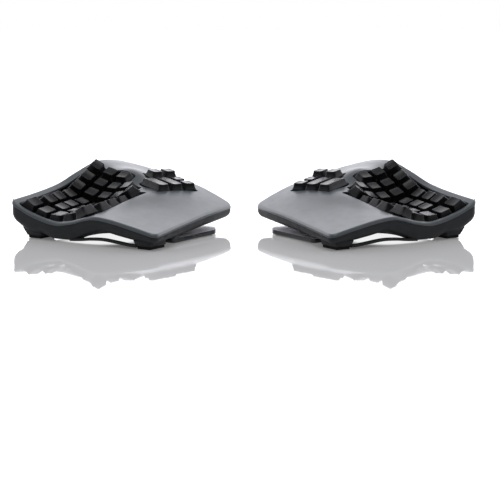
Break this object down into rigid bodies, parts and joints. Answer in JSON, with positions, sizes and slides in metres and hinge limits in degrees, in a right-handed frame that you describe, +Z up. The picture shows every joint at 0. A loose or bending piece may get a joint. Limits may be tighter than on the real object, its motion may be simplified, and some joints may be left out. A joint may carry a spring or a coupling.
{
  "type": "split ergonomic keyboard",
  "caption": "Two-piece ergonomic keyboard: each half has a dished key well, a thumb cluster, a palm rest and a folding tent stand.",
  "frame": {"origin": "middle of the pair's bounding box, on the table", "axes": "+X across the pair from the left half to the right half, +Y away from the viewer, +Z up"},
  "size_m": [0.5156, 0.2708, 0.0779],
  "materials": {
    "case_grey": "satin grey moulded case",
    "charcoal": "fine-grained charcoal plastic",
    "key_cap": "satin black key caps",
    "well_black": "matte black",
    "rubber": "matte",
    "steel": "brushed",
    "circuit": "green solder mask",
    "battery_foil": "foil pouch"
  },
  "bodies": {
    "left_half": {"left_top_case": "case_grey", "left_bottom_case": "charcoal", "left_key_well": "well_black", "left_thumb_plate": "well_black", "left_switch_housings": "well_black", "left_circuit_boards": "circuit", "left_controller_board": "circuit", "left_battery": "battery_foil", "left_usb_socket": "steel", "left_case_screws": "steel", "left_rubber_feet": "rubber", "left_hinge_pins": "steel"},
    "left_stand_frame": {"left_stand": "charcoal", "left_stand_pads": "rubber"},
    "left_power_slider": {"left_power_slider": "well_black"},
    "left_number_keys_outer": {"left_number_keys_outer": "key_cap"},
    "left_number_keys_inner": {"left_number_keys_inner": "key_cap"},
    "left_upper_keys_outer": {"left_upper_keys_outer": "key_cap"},
    "left_upper_keys_inner": {"left_upper_keys_inner": "key_cap"},
    "left_home_keys_outer": {"left_home_keys_outer": "key_cap"},
    "left_home_keys_inner": {"left_home_keys_inner": "key_cap"},
    "left_lower_keys_outer": {"left_lower_keys_outer": "key_cap"},
    "left_lower_keys_inner": {"left_lower_keys_inner": "key_cap"},
    "left_bottom_keys_outer": {"left_bottom_keys_outer": "key_cap"},
    "left_bottom_key_inner": {"left_bottom_key_inner": "key_cap"},
    "left_thumb_long_key_outer": {"left_thumb_long_key_outer": "key_cap"},
    "left_thumb_long_key_inner": {"left_thumb_long_key_inner": "key_cap"},
    "left_thumb_back_keys": {"left_thumb_back_keys": "key_cap"},
    "left_thumb_side_keys": {"left_thumb_side_keys": "key_cap"},
    "right_half": {"right_top_case": "case_grey", "right_bottom_case": "charcoal", "right_key_well": "well_black", "right_thumb_plate": "well_black", "right_switch_housings": "well_black", "right_circuit_boards": "circuit", "right_controller_board": "circuit", "right_battery": "battery_foil", "right_usb_socket": "steel", "right_case_screws": "steel", "right_rubber_feet": "rubber", "right_hinge_pins": "steel"},
    "right_stand_frame": {"right_stand": "charcoal", "right_stand_pads": "rubber"},
    "right_power_slider": {"right_power_slider": "well_black"},
    "right_number_keys_outer": {"right_number_keys_outer": "key_cap"},
    "right_number_keys_inner": {"right_number_keys_inner": "key_cap"},
    "right_upper_keys_outer": {"right_upper_keys_outer": "key_cap"},
    "right_upper_keys_inner": {"right_upper_keys_inner": "key_cap"},
    "right_home_keys_outer": {"right_home_keys_outer": "key_cap"},
    "right_home_keys_inner": {"right_home_keys_inner": "key_cap"},
    "right_lower_keys_outer": {"right_lower_keys_outer": "key_cap"},
    "right_lower_keys_inner": {"right_lower_keys_inner": "key_cap"},
    "right_bottom_keys_outer": {"right_bottom_keys_outer": "key_cap"},
    "right_bottom_key_inner": {"right_bottom_key_inner": "key_cap"},
    "right_thumb_long_key_outer": {"right_thumb_long_key_outer": "key_cap"},
    "right_thumb_long_key_inner": {"right_thumb_long_key_inner": "key_cap"},
    "right_thumb_back_keys": {"right_thumb_back_keys": "key_cap"},
    "right_thumb_side_keys": {"right_thumb_side_keys": "key_cap"}
  },
  "joints": [
    {"name": "left_stand_hinge", "type": "hinge", "parent": "left_half", "child": "left_stand_frame", "pos_m": [-0.14955, -0.05567, 0.0035], "axis": [-0.8387, 0.5446, 0], "range_deg": [0, 14]},
    {"name": "left_power_slide", "type": "slide", "parent": "left_half", "child": "left_power_slider", "axis": [0.5446, 0.8387, 0], "range_m": [-0.0015, 0.0015]},
    {"name": "left_number_keys_outer_press", "type": "slide", "parent": "left_half", "child": "left_number_keys_outer", "axis": [-0.4154, 0.3737, -0.8293], "range_m": [0, 0.004], "stiffness_N_per_m": 160, "springref_m": -0.008},
    {"name": "left_number_keys_inner_press", "type": "slide", "parent": "left_half", "child": "left_number_keys_inner", "axis": [-0.2782, 0.5851, -0.7618], "range_m": [0, 0.004], "stiffness_N_per_m": 120, "springref_m": -0.008},
    {"name": "left_upper_keys_outer_press", "type": "slide", "parent": "left_half", "child": "left_upper_keys_outer", "axis": [-0.2121, 0.256, -0.9431], "range_m": [0, 0.004], "stiffness_N_per_m": 160, "springref_m": -0.008},
    {"name": "left_upper_keys_inner_press", "type": "slide", "parent": "left_half", "child": "left_upper_keys_inner", "axis": [-0.056, 0.4963, -0.8663], "range_m": [0, 0.004], "stiffness_N_per_m": 120, "springref_m": -0.008},
    {"name": "left_home_keys_outer_press", "type": "slide", "parent": "left_half", "child": "left_home_keys_outer", "axis": [0.0056, 0.1208, -0.9927], "range_m": [0, 0.004], "stiffness_N_per_m": 160, "springref_m": -0.008},
    {"name": "left_home_keys_inner_press", "type": "slide", "parent": "left_half", "child": "left_home_keys_inner", "axis": [0.1699, 0.3737, -0.9118], "range_m": [0, 0.004], "stiffness_N_per_m": 120, "springref_m": -0.008},
    {"name": "left_lower_keys_outer_press", "type": "slide", "parent": "left_half", "child": "left_lower_keys_outer", "axis": [0.223, -0.0227, -0.9746], "range_m": [0, 0.004], "stiffness_N_per_m": 160, "springref_m": -0.008},
    {"name": "left_lower_keys_inner_press", "type": "slide", "parent": "left_half", "child": "left_lower_keys_inner", "axis": [0.3843, 0.2257, -0.8952], "range_m": [0, 0.004], "stiffness_N_per_m": 80, "springref_m": -0.008},
    {"name": "left_bottom_keys_outer_press", "type": "slide", "parent": "left_half", "child": "left_bottom_keys_outer", "axis": [0.4252, -0.1646, -0.89], "range_m": [0, 0.004], "stiffness_N_per_m": 160, "springref_m": -0.008},
    {"name": "left_bottom_key_inner_press", "type": "slide", "parent": "left_half", "child": "left_bottom_key_inner", "axis": [0.5725, 0.0623, -0.8176], "range_m": [0, 0.004], "stiffness_N_per_m": 40, "springref_m": -0.008},
    {"name": "left_thumb_long_key_outer_press", "type": "slide", "parent": "left_half", "child": "left_thumb_long_key_outer", "axis": [-0.1337, 0.1028, -0.9857], "range_m": [0, 0.004], "stiffness_N_per_m": 40, "springref_m": -0.008},
    {"name": "left_thumb_long_key_inner_press", "type": "slide", "parent": "left_half", "child": "left_thumb_long_key_inner", "axis": [-0.1337, 0.1028, -0.9857], "range_m": [0, 0.004], "stiffness_N_per_m": 40, "springref_m": -0.008},
    {"name": "left_thumb_back_keys_press", "type": "slide", "parent": "left_half", "child": "left_thumb_back_keys", "axis": [-0.1337, 0.1028, -0.9857], "range_m": [0, 0.004], "stiffness_N_per_m": 80, "springref_m": -0.008},
    {"name": "left_thumb_side_keys_press", "type": "slide", "parent": "left_half", "child": "left_thumb_side_keys", "axis": [-0.1337, 0.1028, -0.9857], "range_m": [0, 0.004], "stiffness_N_per_m": 80, "springref_m": -0.008},
    {"name": "right_stand_hinge", "type": "hinge", "parent": "right_half", "child": "right_stand_frame", "pos_m": [0.14955, -0.05567, 0.0035], "axis": [-0.8387, -0.5446, 0], "range_deg": [0, 14]},
    {"name": "right_power_slide", "type": "slide", "parent": "right_half", "child": "right_power_slider", "axis": [-0.5446, 0.8387, 0], "range_m": [-0.0015, 0.0015]},
    {"name": "right_number_keys_outer_press", "type": "slide", "parent": "right_half", "child": "right_number_keys_outer", "axis": [0.4154, 0.3737, -0.8293], "range_m": [0, 0.004], "stiffness_N_per_m": 160, "springref_m": -0.008},
    {"name": "right_number_keys_inner_press", "type": "slide", "parent": "right_half", "child": "right_number_keys_inner", "axis": [0.2782, 0.5851, -0.7618], "range_m": [0, 0.004], "stiffness_N_per_m": 120, "springref_m": -0.008},
    {"name": "right_upper_keys_outer_press", "type": "slide", "parent": "right_half", "child": "right_upper_keys_outer", "axis": [0.2121, 0.256, -0.9431], "range_m": [0, 0.004], "stiffness_N_per_m": 160, "springref_m": -0.008},
    {"name": "right_upper_keys_inner_press", "type": "slide", "parent": "right_half", "child": "right_upper_keys_inner", "axis": [0.056, 0.4963, -0.8663], "range_m": [0, 0.004], "stiffness_N_per_m": 120, "springref_m": -0.008},
    {"name": "right_home_keys_outer_press", "type": "slide", "parent": "right_half", "child": "right_home_keys_outer", "axis": [-0.0056, 0.1208, -0.9927], "range_m": [0, 0.004], "stiffness_N_per_m": 160, "springref_m": -0.008},
    {"name": "right_home_keys_inner_press", "type": "slide", "parent": "right_half", "child": "right_home_keys_inner", "axis": [-0.1699, 0.3737, -0.9118], "range_m": [0, 0.004], "stiffness_N_per_m": 120, "springref_m": -0.008},
    {"name": "right_lower_keys_outer_press", "type": "slide", "parent": "right_half", "child": "right_lower_keys_outer", "axis": [-0.223, -0.0227, -0.9746], "range_m": [0, 0.004], "stiffness_N_per_m": 160, "springref_m": -0.008},
    {"name": "right_lower_keys_inner_press", "type": "slide", "parent": "right_half", "child": "right_lower_keys_inner", "axis": [-0.3843, 0.2257, -0.8952], "range_m": [0, 0.004], "stiffness_N_per_m": 80, "springref_m": -0.008},
    {"name": "right_bottom_keys_outer_press", "type": "slide", "parent": "right_half", "child": "right_bottom_keys_outer", "axis": [-0.4252, -0.1646, -0.89], "range_m": [0, 0.004], "stiffness_N_per_m": 160, "springref_m": -0.008},
    {"name": "right_bottom_key_inner_press", "type": "slide", "parent": "right_half", "child": "right_bottom_key_inner", "axis": [-0.5725, 0.0623, -0.8176], "range_m": [0, 0.004], "stiffness_N_per_m": 40, "springref_m": -0.008},
    {"name": "right_thumb_long_key_outer_press", "type": "slide", "parent": "right_half", "child": "right_thumb_long_key_outer", "axis": [0.1337, 0.1028, -0.9857], "range_m": [0, 0.004], "stiffness_N_per_m": 40, "springref_m": -0.008},
    {"name": "right_thumb_long_key_inner_press", "type": "slide", "parent": "right_half", "child": "right_thumb_long_key_inner", "axis": [0.1337, 0.1028, -0.9857], "range_m": [0, 0.004], "stiffness_N_per_m": 40, "springref_m": -0.008},
    {"name": "right_thumb_back_keys_press", "type": "slide", "parent": "right_half", "child": "right_thumb_back_keys", "axis": [0.1337, 0.1028, -0.9857], "range_m": [0, 0.004], "stiffness_N_per_m": 80, "springref_m": -0.008},
    {"name": "right_thumb_side_keys_press", "type": "slide", "parent": "right_half", "child": "right_thumb_side_keys", "axis": [0.1337, 0.1028, -0.9857], "range_m": [0, 0.004], "stiffness_N_per_m": 80, "springref_m": -0.008},
    {"name": "halves_apart", "type": "slide", "parent": "left_half", "child": "right_half", "axis": [1, 0, 0], "range_m": [-0.025, 0.25]}
  ]
}
